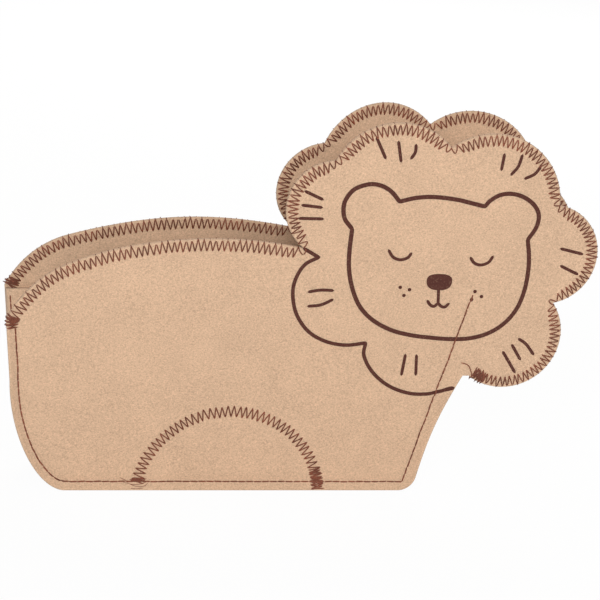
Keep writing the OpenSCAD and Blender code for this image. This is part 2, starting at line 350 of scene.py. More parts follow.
def make_piece(name, patches, material):
    """One smooth object from patches of points in millimetres and faces, with its material."""
    points, faces, start = [], [], 0
    for patch_points, patch_faces in patches:
        points.append(patch_points)
        rows = patch_faces.tolist() if isinstance(patch_faces, np.ndarray) else patch_faces
        faces += [[start + k for k in face] for face in rows]
        start += len(patch_points)
    mesh = bpy.data.meshes.new(name)
    mesh.from_pydata(np.concatenate(points) * MM, [], faces)
    mesh.validate()
    mesh.polygons.foreach_set("use_smooth", np.ones(len(mesh.polygons), bool))
    obj = bpy.data.objects.new(name, mesh)
    bpy.context.collection.objects.link(obj)
    mesh.materials.append(material)
    return obj


# Points closer than this are one
SAME_POINT = 0.001


def close_mesh(obj):
    """Joins points that coincide, such as those of a seam or a pole, and turns all faces outwards."""
    work = bmesh.new()
    work.from_mesh(obj.data)
    bmesh.ops.remove_doubles(work, verts=work.verts, dist=SAME_POINT * MM)
    bmesh.ops.recalc_face_normals(work, faces=work.faces)
    work.to_mesh(obj.data)
    work.free()


# A panel's grid runs along the outline and inwards to a spine through the body to the head,
# that begins this far from the rear end and this high
SPINE_START = (37.5, 50.0)
SPINE = np.array(((REAR_X + SPINE_START[0], SPINE_START[1]), HEAD))
# Shares of the spine that the neck and the toe reach, and how far before the neck the lines to
# the spine begin to lean ahead
SPINE_AT_NECK = 0.8
SPINE_AT_TOE = 0.86
NECK_LEAN = 45.0
# Points of the spine that the two sides of the outline share
SPINE_STEPS = 70
# Rows of points on a face, drawn together towards the rim by this power, and round the rim
FACE_ROWS = 26
FACE_POWER = 1.5
RIM_ROWS = 8


def panel_patch(side, felt):
    """The felt panel as a profile carried round its outline: out along one face, round the rim and back.

    Each point of the outline runs straight to its own point of the spine. The rim is half a circle
    of the felt's thickness, and the panel's bow moves every point along Y alone.
    """
    start, stop = SPINE[:, 0]
    lean = NECK[0] - NECK_LEAN
    back = np.interp(BACK_LINE[:, 0], (start, lean, NECK[0]),
                     (0, (lean - start) / (stop - start), SPINE_AT_NECK))
    mane = np.interp(np.arange(len(MANE)), (0, len(LOBES[0])), (SPINE_AT_NECK, 1))
    share = np.concatenate((back, mane, np.linspace(1, SPINE_AT_TOE, len(CHEST_EDGE)),
                            np.linspace(SPINE_AT_TOE, 0, len(BOTTOM_EDGE)), np.zeros(len(REAR_EDGE))))
    share = np.round(share * SPINE_STEPS) / SPINE_STEPS
    spine = SPINE[0] + (SPINE[1] - SPINE[0]) * share[:, None]
    inward = rights(np.concatenate((OUTLINE[-1:], OUTLINE, OUTLINE[:1])))[1:-1]
    half = felt / 2
    shoulder = OUTLINE + inward * half
    reach = 1 - (1 - np.linspace(0, 1, FACE_ROWS)) ** FACE_POWER
    face = spine[:, None] + (shoulder - spine)[:, None] * reach[None, :, None]
    turn = np.linspace(0, math.pi, RIM_ROWS + 2)[1:-1]
    rim = shoulder[:, None] - inward[:, None] * (half * np.sin(turn))[None, :, None]
    plane = np.concatenate((face, rim, face[:, ::-1]), 1)
    height = np.concatenate((np.full(FACE_ROWS, half), half * np.cos(turn), np.full(FACE_ROWS, -half)))
    x, z = plane[..., 0], plane[..., 1]
    y = side * (DEPTH / 2 + half + bow(side, x, z) + height[None, :])
    grid = np.stack((x, y, z), -1)
    return grid_patch(np.concatenate((grid, grid[:1])))


# The gusset's section: rows along its flange, round its root and across its web
FLANGE_ROWS = 5
WEB_ROWS = 22
# How square the fold is: 2 is an ellipse, and more is squarer
FOLD_POWER = 2.6
# Least depth of the fold, and how far the rounded tip of the flange stands out, in half thicknesses
FOLD_LEAST = 0.01
FLANGE_TIP = 0.8


def fold_at(z):
    """How far the gusset folds inwards at a height: none along the bottom, all of FOLD_IN at its ends."""
    return FOLD_IN * np.clip((z - REAR_ROUND) / (REAR_H - REAR_ROUND), 0, 1)


def gusset_patches(side, felt):
    """Half of the folded gusset, from its flange on one panel to the middle of the depth.

    The middle of the felt runs in along the flange and then across the depth, where the fold's
    depth is f * (1 - (y / w) ** p) ** (1 / p). Half the felt's thickness goes to either side of it.
    """
    half = felt / 2
    width = DEPTH / 2 - CLEAR - half
    fold = fold_at(SEAM[:, 1])[:, None]
    flange = np.linspace(-SEAM_IN + half, -half, FLANGE_ROWS)
    turn = np.linspace(0, math.pi / 2, WEB_ROWS + 1)[1:]
    across = width * np.cos(turn) ** (2 / FOLD_POWER)
    depth = half + np.sin(turn) ** (2 / FOLD_POWER) * np.maximum(fold, FOLD_LEAST)
    inward = np.concatenate((np.broadcast_to(flange, (len(SEAM), FLANGE_ROWS)), depth), 1)
    y = np.concatenate((np.full(FLANGE_ROWS, width), across))
    y = np.broadcast_to(y, inward.shape)
    middle = np.stack((inward, y), -1)
    way = np.gradient(middle, axis=1)
    way /= np.linalg.norm(way, axis=2)[..., None]
    way[:, -1] = (0, -1)
    normal = np.stack((-way[..., 1], way[..., 0]), -1)
    tip = middle[:, :1] - way[:, :1] * half * FLANGE_TIP
    loop = np.concatenate((middle + normal * half, (middle - normal * half)[:, ::-1], tip), 1)
    right = rights(SEAM)
    plane = SEAM[:, None] + right[:, None] * loop[..., :1]
    follow = smoothstep(loop[..., 1], 0, width)
    lean = bow(side, plane[..., 0], plane[..., 1])
    z = np.maximum(plane[..., 1], 0)
    grid = np.stack((plane[..., 0], side * (loop[..., 1] + lean * follow), z), -1)
    points, faces = grid_patch(grid, around=True)
    cols = middle.shape[1]
    k = np.arange(cols - 1)
    cap = np.stack((k, k + 1, 2 * cols - 2 - k, 2 * cols - 1 - k), -1)
    last = (len(SEAM) - 1) * loop.shape[1]
    tips = [[0, 2 * cols - 1, 2 * cols], [last, last + 2 * cols - 1, last + 2 * cols]]
    return [(points, [*faces.tolist(), *cap.tolist(), *(cap + last).tolist(), *tips])]


# Zigzags and running stitches, as the solids have them
ZIGZAG_W = 5.2
ZIGZAG_PITCH = 2.4
STITCH_PITCH = 3.3
# Points along one leg of a zigzag, and along one running stitch
LEG_POINTS = 7
# Height of a thread's middle over the felt, as a share of its radius
LIFT = 0.7
# How far a thread's end sinks into the felt, and the share of a leg over which it does, at the tips of
# the overcast and of the arch
SINK = 0.35
OVERCAST_SINKS = 0.2
ARCH_SINKS = 0.18
# The overcast begins and ends this far from the corners. Its outer tips stand this far past the cut
# edge, and over this share of a leg the thread turns round the edge, to this far from mid-thickness
OVERCAST_END = 0.6
OVERCAST_PAST = 0.05
EDGE_TURN = 0.28
EDGE_SPARE = 0.1
# Small errors of the tips, as a share of their step and in millimetres, in a row, a lock and a seam
ROW_WANDER = 0.12
LOCK_WANDER = 0.4
SEAM_WANDER = 0.07
# Share by which legs are shorter in a notch of the mane, and how far from it
NOTCH_SHORT = 0.45
NOTCH_REACH = 3.0
# A machine's locking stitches go to and fro at about this pitch, in this many layers, each higher by
# this share of the thread's radius. At an edge they stand past it by the first of these widths, and
# end short of the row by the second
LOCK_PITCH = 1.3
LOCK_LAYERS = 2
LOCK_UP = 0.6
LOCK_EDGE = (0.2, 0.4)
# Where the rear lock begins and ends, from the corner along the open edge, on each panel, and the
# length of the lock at the end of the mane
REAR_LOCKS = {FRONT: (-3.7, 2.7), BACK: (1.2, 5.6)}
MANE_LOCK_L = 6.8
# Round the rear corner, from the sewn edge to the first points of the open one
FIRST_POINTS = 20
REAR_ROUND_EDGE = np.concatenate((REAR_EDGE, OPEN_EDGE[:FIRST_POINTS]))
# Heights of the arch's two ends, the lengths of their locks, and the points along it
ARCH_ENDS = (3.0, 0.7)
ARCH_LOCKS = (2.8, 9.5)
ARCH_STEPS = 120
# The stitch that shows is longer than in the solids, because the next one begins in its own hole
STITCH_SHOWN = 3.25
# Share of SINK that its ends dip by, and where the dip begins and ends, in shares from its middle
STITCH_DIP = 0.4
STITCH_DIPS = (0.36, 0.5)
# Distance of a seam's lower thread from the root of the gusset, out along the flange
LOWER_OUT = 1.3
# Loose ends of thread at the lock of the mane and at the rear lock of the arch, their points and the
# share of the thread's thickness that they have
LOOSE_POINTS = 12
MANE_LOOSE_SHARE = 0.8
ARCH_LOOSE_SHARE = 0.4
MANE_LOOSE = (HEAD + ((13.5, -42.1), (16.6, -43.2), (18.2, -46.2), (18.8, -48.9)),)
ARCH_LOOSE = (((-72.0, 5.4), (-69.0, 3.8), (-65.5, 3.4), (-61.5, 4.2)),
              ((-70.5, 3.2), (-66.5, 2.3), (-63.0, 2.6), (-60.8, 3.4)),
              ((-67.8, 2.5), (-65.0, 1.7), (-62.0, 1.8), (-60.4, 2.8)),
              ((-67.6, 1.1), (-65.6, 0.9), (-63.9, 1.0), (-62.3, 1.1)))


def zigzag_legs(line, start, stop, near, far, side, height, rng, pitch=ZIGZAG_PITCH, wander=ROW_WANDER,
                notches=()):
    """The legs of a zigzag along a line, out and back by turns, each tip a little off its place.

    The tips lie at the distances near and far to the right of the line. height gives a leg's height
    over the panel's outer face at the shares 0 to 1 of its way from near to far. Near the given
    distances of notches, where legs would crowd, they are shorter. Gives legs by points by 3.
    """
    step = pitch / 2
    count = int((stop - start) / step)
    tips = start + step * np.arange(count + 1) + rng.normal(0, wander * step, count + 1)
    inner = np.arange(count + 1) % 2 == 0
    reach = np.full(count + 1, far)
    for notch in notches:
        reach -= NOTCH_SHORT * far * np.exp(-((tips - notch) / NOTCH_REACH) ** 2)
    tips = np.stack((tips, np.where(inner, reach, near) + rng.normal(0, wander, count + 1)))
    begin = np.where(inner[:-1], tips[:, 1:], tips[:, :-1])
    end = np.where(inner[:-1], tips[:, :-1], tips[:, 1:])
    share = np.linspace(0, 1, LEG_POINTS)
    along, aside = begin[..., None] + (end - begin)[..., None] * share
    flat = along.ravel()
    plane = points_at(line, flat) + rights_at(line, flat, ZIGZAG_PITCH) * aside.ravel()[:, None]
    return on_panel(side, plane.reshape(*along.shape, 2), height)


def lock_patches(line, start, stop, near, far, side, height, radius, rng, layers=LOCK_LAYERS):
    """Locking stitches to and fro across a line, in layers, each leg a little off its place."""
    up = math.copysign(LOCK_UP * radius, height[LEG_POINTS // 2])
    return [tubes(zigzag_legs(line, start, stop, near, far, side, height + layer * up, rng, LOCK_PITCH,
                              LOCK_WANDER), radius) for layer in range(layers)]


def loose_patches(ends, side, radius):
    """Loose ends of thread that lie on the outer face of a panel."""
    lines = [smooth_line(end) for end in ends]
    paths = np.array([points_at(line, np.linspace(0, distances(line)[-1], LOOSE_POINTS)) for line in lines])
    return [tubes(on_panel(side, paths, radius), radius)]


def overcast_patches(side, felt, thread, rng):
    """Zigzag over the open edge on both faces of a panel, with dense locking stitches at its two ends."""
    length, rear_l = distances(OPEN_EDGE)[-1], distances(REAR_ROUND_EDGE)[len(REAR_EDGE)]
    radius = thread / 2
    share = np.linspace(0, 1, LEG_POINTS)
    sink = smoothstep(share, 1 - OVERCAST_SINKS, 1) * SINK
    edge = (1 - smoothstep(share, 0, EDGE_TURN)) * (felt / 2 - EDGE_SPARE)
    outer = radius * LIFT - sink - edge
    inner = -felt - radius * LIFT + sink + edge
    locks = ((REAR_ROUND_EDGE, *(rear_l + at for at in REAR_LOCKS[side])),
             (OPEN_EDGE, length - MANE_LOCK_L, length))
    past, short = LOCK_EDGE
    joints = len(BACK_LINE) + np.cumsum([0] + [len(lobe) for lobe in LOBES[:-1]])
    notches = distances(OPEN_EDGE)[joints]
    patches = []
    for height in (outer, inner):
        rows = zigzag_legs(OPEN_EDGE, OVERCAST_END, length - OVERCAST_END, -OVERCAST_PAST, ZIGZAG_W, side,
                           height, rng, notches=notches)
        patches.append(tubes(rows, radius))
        for line, start, stop in locks:
            patches += lock_patches(line, start, stop, -past, ZIGZAG_W - short, side, height, radius, rng)
    if side == FRONT:
        patches += loose_patches(MANE_LOOSE, side, radius * MANE_LOOSE_SHARE)
    return patches


def arch_line():
    """Middle of the stitched arch: part of a circle about a point below the bottom edge."""
    centre = np.array((REAR_X + BODY_L / 2 + ARCH_AHEAD, -ARCH_DROP))
    rear, fore = (math.asin((end + ARCH_DROP) / ARCH_R) for end in ARCH_ENDS)
    angle = np.linspace(math.pi - rear, fore, ARCH_STEPS)
    return centre + ARCH_R * np.stack((np.cos(angle), np.sin(angle)), 1)


def arch_patches(side, thread, rng):
    """Zigzag along the arch on the outer face, with locking stitches to and fro at both feet.

    The lock at the fore foot grows denser downwards, so its second layer has half its length.
    """
    line = arch_line()
    length = distances(line)[-1]
    radius = thread / 2
    share = np.linspace(0, 1, LEG_POINTS)
    sink = (smoothstep(share, 1 - ARCH_SINKS, 1) + 1 - smoothstep(share, 0, ARCH_SINKS)) * SINK
    height = radius * LIFT - sink
    half = ZIGZAG_W / 2
    patches = [tubes(zigzag_legs(line, 0.0, length, -half, half, side, height, rng), radius)]
    for start, stop, layers in ((0.0, ARCH_LOCKS[0], LOCK_LAYERS), (length - ARCH_LOCKS[1], length, 1),
                                (length - ARCH_LOCKS[1] / 2, length, 1)):
        patches += lock_patches(line, start, stop, -half, half, side, height, radius, rng, layers)
    if side == FRONT:
        patches += loose_patches(ARCH_LOOSE, side, radius * ARCH_LOOSE_SHARE)
    return patches


# The seam as it is stitched, which turns sharply at the chest corner
STITCHED = np.concatenate((run(CHEST_TOP, SEAM_CORNER), run(SEAM_CORNER, (HEEL[0], SEAM_IN)),
                           REAR_EDGE + rights(REAR_EDGE) * SEAM_IN))


def seam_patches(side, felt, thread, rng):
    """Running stitches along the seam that dip in at both ends, on the panel and on the gusset's flange."""
    radius = thread / 2
    length = distances(STITCHED)[-1]
    middles = np.arange(STITCH_PITCH, length - STITCH_SHOWN / 2, STITCH_PITCH)
    share = np.linspace(-0.5, 0.5, LEG_POINTS)
    along = middles[:, None] + STITCH_SHOWN * share
    off = rng.normal(0, SEAM_WANDER, (len(middles), 2))
    off = off[:, :1] + (off[:, 1:] - off[:, :1]) * (share + 0.5)
    flat = along.ravel()
    dip = STITCH_DIP * SINK * smoothstep(np.abs(share), *STITCH_DIPS)
    upper, lower = radius * LIFT - dip, dip - 2 * felt - CLEAR - radius * LIFT
    middle, right = points_at(STITCHED, flat), rights_at(STITCHED, flat, STITCH_PITCH)
    patches = []
    for height, out in ((upper, 0.0), (lower, LOWER_OUT)):
        plane = middle + right * (off.ravel() - out)[:, None]
        patches.append(tubes(on_panel(side, plane.reshape(*along.shape, 2), height), radius))
    return patches


# The print on the front panel, in millimetres from the middle of the head: the lines of the face,
# the mane's lower lobes, which the cut edge doesn't show, and the hairs of the mane
FACE_LINES = (
    ((-36.3, 13.9), (-39.6, 18.1), (-40.4, 23.1), (-39.1, 27.2), (-36.1, 30.6), (-30.6, 32.6),
     (-25.7, 32.1), (-21.5, 29.7), (-18.1, 25.9)),
    ((-18.1, 25.9), (-11.5, 27.7), (-4.2, 28.3), (4.9, 27.5), (11.6, 26.1), (16.9, 24.9)),
    ((16.9, 24.9), (18.9, 27.4), (22.8, 29.8), (27.7, 30.4), (32.9, 29.0), (37.4, 25.8),
     (39.7, 21.6), (39.2, 16.6), (36.2, 11.3)),
    ((36.2, 11.3), (37.4, 4.7), (37.8, -2.1), (37.0, -10.7), (34.5, -18.5), (30.0, -24.7),
     (23.7, -29.1), (16.3, -31.4), (8.0, -31.9), (-0.5, -31.4), (-9.0, -30.4), (-17.5, -28.2),
     (-25.3, -24.0), (-30.9, -18.3), (-34.3, -11.1), (-36.2, -3.5), (-36.7, 4.2), (-36.3, 13.9)),
)
MANE_LINES = (
    ((-55.0, 5.2), (-49.0, 1.8)),
    ((-49.0, 1.8), (-54.4, -1.4), (-57.7, -7.3), (-58.5, -13.9), (-56.5, -22.1), (-51.3, -29.3),
     (-44.0, -33.5), (-35.6, -35.1), (-27.2, -34.1)),
    ((-27.2, -34.1), (-27.4, -39.7), (-23.1, -46.9), (-15.9, -52.7), (-7.6, -55.7), (-0.6, -56.1),
     (5.4, -55.0), (10.8, -52.9)),
)
EYES = (((-20.7, 5.4), (-18.8, 2.7), (-15.8, 1.6), (-12.8, 2.5), (-11.5, 4.3)),
        ((13.2, 3.1), (14.9, 1.0), (17.7, 0.2), (20.7, 1.3), (22.3, 3.8)))
MOUTH = (((1.2, -10.3), (1.5, -16.5)),
         ((-2.9, -15.7), (-1.8, -17.2), (-0.1, -17.9), (1.5, -16.5)),
         ((1.5, -16.5), (2.9, -17.8), (4.4, -18.1), (5.9, -16.7)))
FRECKLES = ((-14.7, -10.1), (-10.8, -11.0), (-12.9, -13.5), (16.4, -11.2), (19.3, -13.3), (15.3, -14.7))
HAIRS = (
    ((-56.1, 28.8), (-49.1, 25.7)), ((-56.9, 23.1), (-49.2, 22.4)), ((-57.8, 17.7), (-48.5, 17.7)),
    ((-29.3, 51.5), (-25.2, 43.5)), ((-20.5, 50.2), (-18.9, 42.5)),
    ((-13.4, 49.2), (-13.5, 46.3), (-14.9, 43.8)),
    ((22.8, 46.5), (22.2, 40.3)), ((30.2, 46.3), (29.0, 41.8), (26.5, 38.4)),
    ((38.2, 41.6), (36.0, 38.7), (32.4, 36.9)),
    ((50.7, 7.7), (59.8, 5.6)), ((51.5, 0.3), (58.7, -3.0)),
    ((30.9, -37.3), (36.7, -46.0)), ((34.4, -34.2), (38.4, -40.3)),
    ((37.1, -31.5), (40.3, -33.7), (43.8, -38.0)),
    ((-10.2, -39.1), (-11.1, -47.6)), ((-5.5, -39.3), (-5.1, -47.5)),
    ((-52.0, -12.7), (-47.2, -11.9), (-42.3, -12.0)), ((-51.8, -18.8), (-46.7, -18.1), (-42.2, -15.9)),
)
NOSE_AT = (1.2, -6.9)
NOSE_W = 5.3
NOSE_UP, NOSE_DOWN = 2.9, 4.1
FRECKLE_R = 0.75
# Widths of the printed lines
FACE_W = 1.8
MANE_W = 1.55
STROKE_W = 1.3
# Height of the ink over the felt, at the middle of a line and at its edges
INK_HIGH = 0.11
INK_LOW = 0.07
# Distance between the points of a printed line, and the points across it
INK_STEP = 0.35
INK_ACROSS = 5
# Points round a printed spot, its rings, and the share of its size that the innermost ring has
SPOT_POINTS = 40
SPOT_RINGS = 7
SPOT_INNER = 0.02
# How square the nose is, where 2 is an ellipse
NOSE_POWER = 2.5


def ink_ribbon(points, width):
    """A printed line: a strip along a smooth curve, with round ends, on the front panel."""
    line = smooth_line(np.asarray(points, float) + HEAD, INK_STEP)
    d = distances(line)
    way = ways(line)
    half = width / 2
    gap = np.clip(1 - np.minimum(d, d[-1] - d) / half, 0, 1)
    line = line + way * (np.where(d < d[-1] / 2, -1, 1) * gap * half)[:, None]
    share = np.sqrt(np.clip(1 - gap ** 2, 0, 1))
    across = np.linspace(-1, 1, INK_ACROSS)
    plane = line[:, None] + rights(line)[:, None] * (share[:, None] * across * half)[..., None]
    lift = INK_LOW + (INK_HIGH - INK_LOW) * (1 - across ** 2)
    return grid_patch(on_panel(FRONT, plane, lift[None, :]))


def ink_blob(middle, wide, up, down, power):
    """A printed spot: rings of a squared ellipse about its middle, taller above or below as given.

    The ink thins towards the rim with the fourth power of the ring's share of the size.
    """
    ring = np.linspace(SPOT_INNER, 1, SPOT_RINGS)[:, None]
    angle = np.linspace(0, 2 * math.pi, SPOT_POINTS, endpoint=False)[None, :]
    c, s = np.cos(angle), np.sin(angle)
    squared = np.sign(c) * np.abs(c) ** (2 / power), np.sign(s) * np.abs(s) ** (2 / power)
    plane = np.stack((ring * wide * squared[0], ring * np.where(s > 0, up, down) * squared[1]), -1)
    plane = plane + HEAD + middle
    lift = INK_HIGH - (INK_HIGH - INK_LOW) * ring ** 4
    points, faces = grid_patch(on_panel(FRONT, plane, lift), around=True)
    return points, [*faces.tolist(), list(range(SPOT_POINTS))]


def print_patches():
    """The printed face, mane lines and hairs of the front panel."""
    patches = [ink_ribbon(line, FACE_W) for line in FACE_LINES]
    patches += [ink_ribbon(line, MANE_W) for line in MANE_LINES]
    patches += [ink_ribbon(line, STROKE_W) for line in (*EYES, *MOUTH, *HAIRS)]
    patches.append(ink_blob(NOSE_AT, NOSE_W, NOSE_UP, NOSE_DOWN, NOSE_POWER))
    patches += [ink_blob(spot, FRECKLE_R, FRECKLE_R, FRECKLE_R, 2) for spot in FRECKLES]
    return patches


def add_node(tree, kind, sockets=(), **settings):
    """Adds a node with its settings, and sets or links each named or numbered socket."""
    node = tree.nodes.new(kind)
    for key, value in settings.items():
        setattr(node, key, value)
    for key, value in dict(sockets).items():
        if isinstance(value, bpy.types.NodeSocket):
            tree.links.new(value, node.inputs[key])
        else:
            node.inputs[key].default_value = value
    return node


def new_material(name):
    """An empty node material and its tree."""
    material = bpy.data.materials.new(name)
    material.use_nodes = True
    material.node_tree.nodes.clear()
    return material, material.node_tree


# Sizes of the patterns in the materials, in millimetres: the felt's tufts, its denser patches and its
# fibres as they are drawn, the thread's twist and its worn places, and the tufts under the ink
FELT_TUFT, FELT_PATCH, FELT_FIBRE = 0.65, 14.0, 0.4
THREAD_TWIST, THREAD_WORN = 0.5, 9.0
INK_TUFT = 0.7
# Share of the felt's colour in the palest ink
FELT_THROUGH = 0.14


def per_mm(size):
    """The scale of a noise whose features are about the given size in millimetres."""
    return 1 / (size * MM)


def tint(colour, share):
    """A linear colour times a share."""
    return (*(min(1.0, c * share) for c in colour[:3]), 1.0)


def finish_surface(tree, mixed, stops, relief, shading):
    """The end of a material: a ramp gives the colour, a bump the relief, and one shader takes both.

    Each stop of the ramp is a position and a linear colour.
    """
    ramp = add_node(tree, "ShaderNodeValToRGB", {"Fac": mixed})
    elements = ramp.color_ramp.elements
    while len(elements) < len(stops):
        elements.new(1.0)
    for element, (position, colour) in zip(elements, stops):
        element.position, element.color = position, colour
    bump = add_node(tree, "ShaderNodeBump", relief)
    shader = add_node(tree, "ShaderNodeBsdfPrincipled", {"Base Color": ramp.outputs["Color"],
                                                         "Normal": bump.outputs["Normal"], **shading})
    add_node(tree, "ShaderNodeOutputMaterial", {"Surface": shader.outputs["BSDF"]})


def felt_material(name, colour):
    """Pressed wool felt: carded fibres matted by needles, so a dull, finely mottled face with no weave.

    The eye sees a grain of pale and dark tufts under a millimetre across, slow patches where the
    wool is denser, and short fibres that lie every way. Fibres are 0.03 mm thick, too fine to show
    here, so they are drawn 0.4 mm thick.
    """
    material, tree = new_material(name)
    place = add_node(tree, "ShaderNodeTexCoord").outputs["Object"]
    grain = add_node(tree, "ShaderNodeTexNoise", {"Vector": place, "Scale": per_mm(FELT_TUFT),
                                                  "Detail": 4.0, "Roughness": 0.62}).outputs["Fac"]
    patch = add_node(tree, "ShaderNodeTexNoise", {"Vector": place, "Scale": per_mm(FELT_PATCH),
                                                  "Detail": 3.0}).outputs["Fac"]
    turned = add_node(tree, "ShaderNodeMapping", {"Vector": place, "Rotation": (0.0, 0.6, 0.0),
                                                  "Scale": (0.6, 1.0, 1.0)}).outputs["Vector"]
    fibre = add_node(tree, "ShaderNodeTexNoise", {"Vector": turned, "Scale": per_mm(FELT_FIBRE),
                                                  "Detail": 2.0, "Distortion": 1.2}).outputs["Fac"]
    wool = add_node(tree, "ShaderNodeMath", {0: grain, 1: fibre}, operation="ADD").outputs[0]
    even = add_node(tree, "ShaderNodeMath", {0: wool, 1: 0.45}, operation="MULTIPLY").outputs[0]
    mixed = add_node(tree, "ShaderNodeMath", {0: patch, 1: 0.1, 2: even}, operation="MULTIPLY_ADD")
    stops = ((0.36, tint(colour, 0.72)), (0.5, colour), (0.64, tint(colour, 1.26)))
    finish_surface(tree, mixed.outputs[0], stops,
                   {"Height": wool, "Strength": 0.45, "Distance": 0.25 * MM},
                   {"Roughness": 0.95, "IOR": 1.45, "Specular IOR Level": 0.15, "Sheen Weight": 0.12,
                    "Sheen Roughness": 0.6})
    return material


def thread_material(name, colour):
    """Spun polyester sewing thread: three plies twisted together, with a low silky shine.

    The plies are 0.2 mm thick, too fine to show, so the twist is drawn as bands 0.5 mm apart.
    """
    material, tree = new_material(name)
    place = add_node(tree, "ShaderNodeTexCoord").outputs["Object"]
    twist, worn = (add_node(tree, "ShaderNodeTexNoise", {"Vector": place, "Scale": per_mm(size),
                                                         "Detail": 2.0}).outputs["Fac"]
                   for size in (THREAD_TWIST, THREAD_WORN))
    half = add_node(tree, "ShaderNodeMath", {0: worn, 1: 0.5}, operation="MULTIPLY").outputs[0]
    mixed = add_node(tree, "ShaderNodeMath", {0: twist, 1: 0.5, 2: half}, operation="MULTIPLY_ADD")
    stops = ((0.35, tint(colour, 0.6)), (0.5, colour), (0.65, tint(colour, 1.6)))
    finish_surface(tree, mixed.outputs[0], stops,
                   {"Height": twist, "Strength": 0.5, "Distance": 0.1 * MM},
                   {"Roughness": 0.6, "IOR": 1.5, "Specular IOR Level": 0.3})
    return material


def ink_material(name, colour, felt):
    """Water-based ink screen-printed on felt: it soaks in, so it is as dull as the felt.

    Tufts of the felt, about 0.7 mm across, show faintly through it.
    """
    material, tree = new_material(name)
    place = add_node(tree, "ShaderNodeTexCoord").outputs["Object"]
    grain = add_node(tree, "ShaderNodeTexNoise", {"Vector": place, "Scale": per_mm(INK_TUFT),
                                                  "Detail": 3.0, "Roughness": 0.6}).outputs["Fac"]
    bare = (*((1 - FELT_THROUGH) * a + FELT_THROUGH * b for a, b in zip(colour[:3], felt[:3])), 1.0)
    stops = ((0.30, tint(colour, 0.85)), (0.56, colour), (0.72, bare))
    finish_surface(tree, grain, stops,
                   {"Height": grain, "Strength": 0.35, "Distance": 0.15 * MM},
                   {"Roughness": 0.9, "IOR": 1.45, "Specular IOR Level": 0.15})
    return material


# Share of even white in the floor that the camera sees
FLOOR_GLOW = 0.96
WHITE = (1.0, 1.0, 1.0, 1.0)


def floor_material(name, colour):
    """Seamless white paper, matt. The camera sees it near white, and it keeps the puppet's soft shadow."""
    material, tree = new_material(name)
    paper = add_node(tree, "ShaderNodeBsdfPrincipled", {"Base Color": colour, "Roughness": 0.95,
                                                        "Specular IOR Level": 0.1})
    glow = add_node(tree, "ShaderNodeEmission", {"Color": WHITE, "Strength": 1.0})
    ray = add_node(tree, "ShaderNodeLightPath")
    share = add_node(tree, "ShaderNodeMath", {0: ray.outputs["Is Camera Ray"], 1: FLOOR_GLOW},
                     operation="MULTIPLY")
    shader = add_node(tree, "ShaderNodeMixShader", {"Fac": share.outputs[0], 1: paper.outputs["BSDF"],
                                                    2: glow.outputs["Emission"]})
    add_node(tree, "ShaderNodeOutputMaterial", {"Surface": shader.outputs["Shader"]})
    return material


class PuppetFelt(bpy.types.PropertyGroup):
    """Felt of the panels and the gusset."""
    thickness: bpy.props.FloatProperty(
        name="Thickness", description="Thickness of the felt", default=0.002, min=0.001, max=0.003,
        subtype="DISTANCE", unit="LENGTH", precision=4)
    colour: bpy.props.FloatVectorProperty(
        name="Panels", description="Colour of the two panels", default=linear("#cbaa8d"), size=4,
        min=0.0, max=1.0, subtype="COLOR")
    # Painted light: the gusset is the same felt as the panels, given a colour a little lighter to stand in
    # for the light that its inner face catches
    gusset_painted_lighter_colour: bpy.props.FloatVectorProperty(
        name="Gusset", description="Colour of the gusset", default=linear("#cfae91"), size=4,
        min=0.0, max=1.0, subtype="COLOR")


class PuppetThread(bpy.types.PropertyGroup):
    """Thread of the zigzags and the seams."""
    thickness: bpy.props.FloatProperty(
        name="Zigzag thread", description="Thickness of the thread of the zigzags", default=0.0005,
        min=0.0003, max=0.0007, subtype="DISTANCE", unit="LENGTH", precision=5)
    seam_thickness: bpy.props.FloatProperty(
        name="Seam thread", description="Thickness of the thread of the seams", default=0.0006,
        min=0.0003, max=0.0007, subtype="DISTANCE", unit="LENGTH", precision=5)
    colour: bpy.props.FloatVectorProperty(
        name="Colour", description="Colour of the thread", default=linear("#74412f"), size=4,
        min=0.0, max=1.0, subtype="COLOR")
    seed: bpy.props.IntProperty(
        name="Seed", description="Seed of the small errors in the stitches", default=7, min=0)


class PuppetInk(bpy.types.PropertyGroup):
    """Ink of the printed face and mane."""
    colour: bpy.props.FloatVectorProperty(
        name="Colour", description="Colour of the ink", default=linear("#54322b"), size=4,
        min=0.0, max=1.0, subtype="COLOR")


class PuppetStage(bpy.types.PropertyGroup):
    """Camera, floor and light."""
    azimuth: bpy.props.FloatProperty(
        name="Azimuth", description="Direction of the camera, positive on the head's side",
        default=math.radians(-10), subtype="ANGLE", unit="ROTATION")
    elevation: bpy.props.FloatProperty(
        name="Elevation", description="Height of the camera over the horizon",
        default=math.radians(18), subtype="ANGLE", unit="ROTATION")
    roll: bpy.props.FloatProperty(
        name="Roll", description="Turn of the camera that brings the bottom edge level",
        default=math.radians(4.03), subtype="ANGLE", unit="ROTATION")
    distance: bpy.props.FloatProperty(
        name="Distance", description="Distance of the camera from the front panel", default=0.8,
        min=0.3, max=5.0, subtype="DISTANCE", unit="LENGTH")
    target: bpy.props.FloatVectorProperty(
        name="Target", description="Point that the camera looks at", default=(-0.0026, -0.019, 0.0829),
        size=3, subtype="TRANSLATION", unit="LENGTH")
    lens: bpy.props.FloatProperty(
        name="Lens", description="Focal length of the camera in millimetres", default=119.4, min=20, max=300)
    floor_colour: bpy.props.FloatVectorProperty(
        name="Floor", description="Colour of the floor", default=linear("#f7f6f4"), size=4,
        min=0.0, max=1.0, subtype="COLOR")


def material_once(name, make, *values):
    """The material of that name, made on its first use."""
    return bpy.data.materials.get(name) or make(name, *values)


